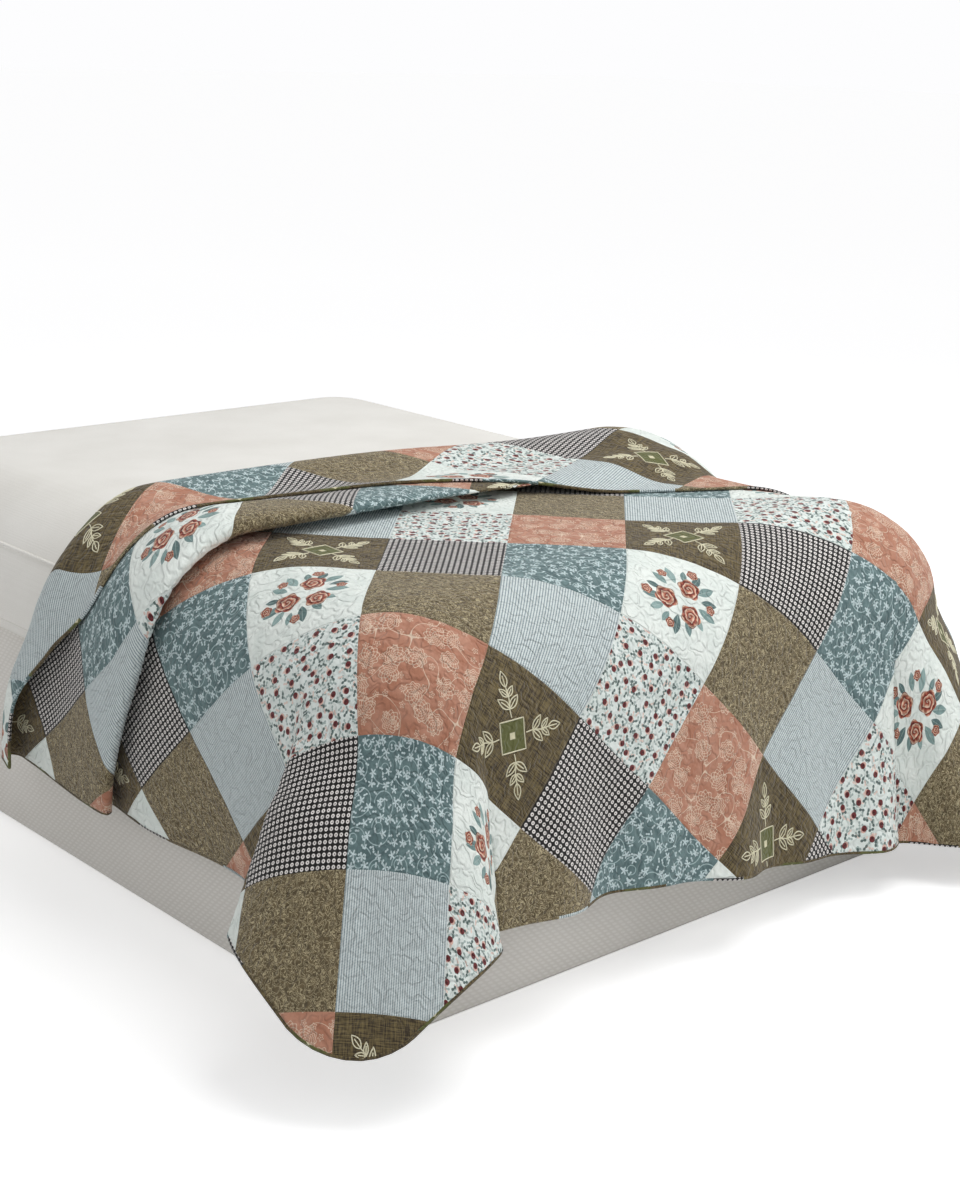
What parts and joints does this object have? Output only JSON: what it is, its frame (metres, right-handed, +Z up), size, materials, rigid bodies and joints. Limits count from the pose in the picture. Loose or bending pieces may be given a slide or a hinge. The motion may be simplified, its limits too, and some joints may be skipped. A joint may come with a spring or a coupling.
{
  "type": "quilted patchwork bedspread on a plain mattress and bed base",
  "caption": "A quilted patchwork bedspread with diamond-set patches, rolled and turned back across the bed, draped over a plain mattress and base.",
  "frame": {"origin": "on the floor under the middle of the bed base", "axes": "+X to the right for someone standing at the foot, +Y from foot to head, +Z up"},
  "size_m": [1.9241, 2.2754, 0.8054],
  "materials": {
    "quilted cotton": "matte printed cotton with a stippled quilting",
    "mattress ticking": "matte woven ticking",
    "base cover": "matte woven cover"
  },
  "bodies": {
    "root": {"bedspread": "quilted cotton", "mattress": "mattress ticking", "bed_base": "base cover"}
  },
  "joints": []
}
